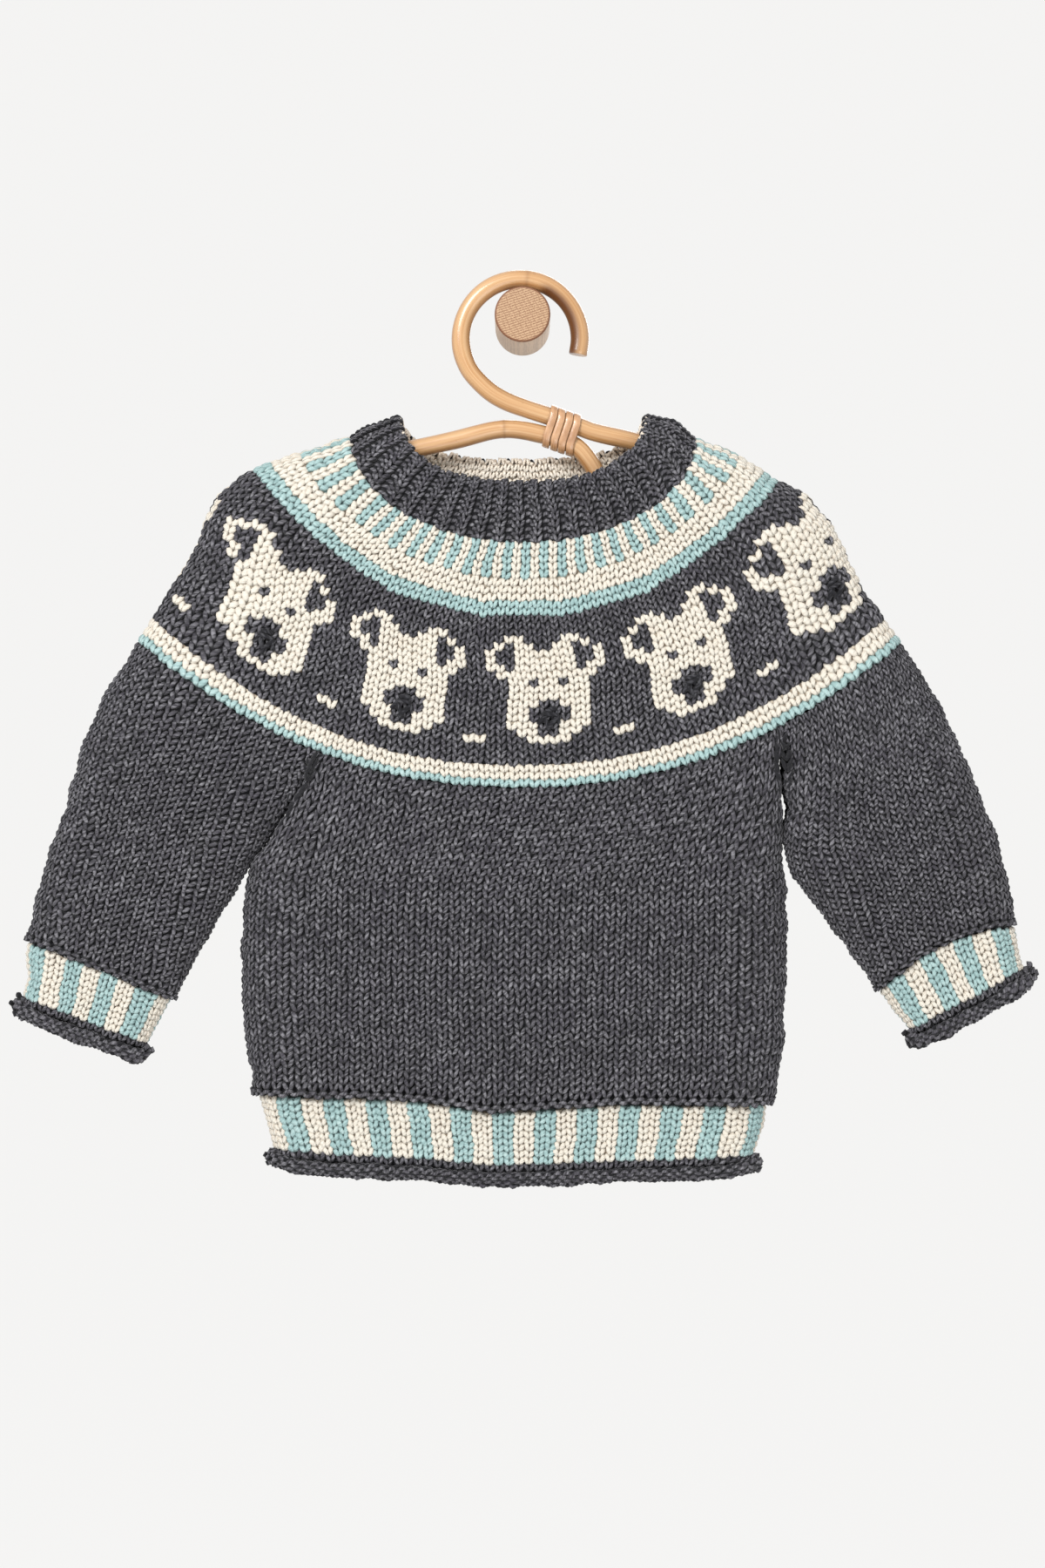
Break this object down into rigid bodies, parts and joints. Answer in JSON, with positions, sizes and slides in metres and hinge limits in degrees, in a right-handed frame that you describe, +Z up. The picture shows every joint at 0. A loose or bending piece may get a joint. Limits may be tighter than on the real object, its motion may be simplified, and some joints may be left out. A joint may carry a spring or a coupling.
{
  "type": "knitted baby sweater on a cane hanger and wall peg",
  "caption": "Round-yoke knitted baby sweater with striped hem and cuffs, hanging on a cane hanger from a round wooden wall peg.",
  "frame": {"origin": "the middle of the wall peg's flat back face, where it meets the wall", "axes": "+X to the right as seen from the front, along the sleeves' span; +Y into the wall; +Z up; the sweater's front faces -Y"},
  "size_m": [0.5162, 0.054, 0.4608],
  "materials": {
    "charcoal_wool": "heathered charcoal wool, hand-knit",
    "yoke_wool": "charcoal wool with cream and duck-egg blue colourwork",
    "stripe_wool": "cream and duck-egg blue wool in two-stitch stripes",
    "cream_wool": "cream wool, the reverse side out",
    "cane": "polished rattan cane",
    "cane_strip": "split cane strip, wound tight",
    "peg_wood": "bare turned wood"
  },
  "bodies": {
    "root": {"wall_peg": "peg_wood", "hook_cane": "cane", "arm_cane": "cane", "binding": "cane_strip", "neckband": "charcoal_wool", "neck_facing": "cream_wool", "yoke": "yoke_wool", "body_front": "charcoal_wool", "body_back": "charcoal_wool", "sleeve_left": "charcoal_wool", "sleeve_right": "charcoal_wool", "cuff_left": "stripe_wool", "cuff_right": "stripe_wool", "cuff_roll_left": "charcoal_wool", "cuff_roll_right": "charcoal_wool", "hem_band": "stripe_wool", "hem_roll": "charcoal_wool"}
  },
  "joints": []
}
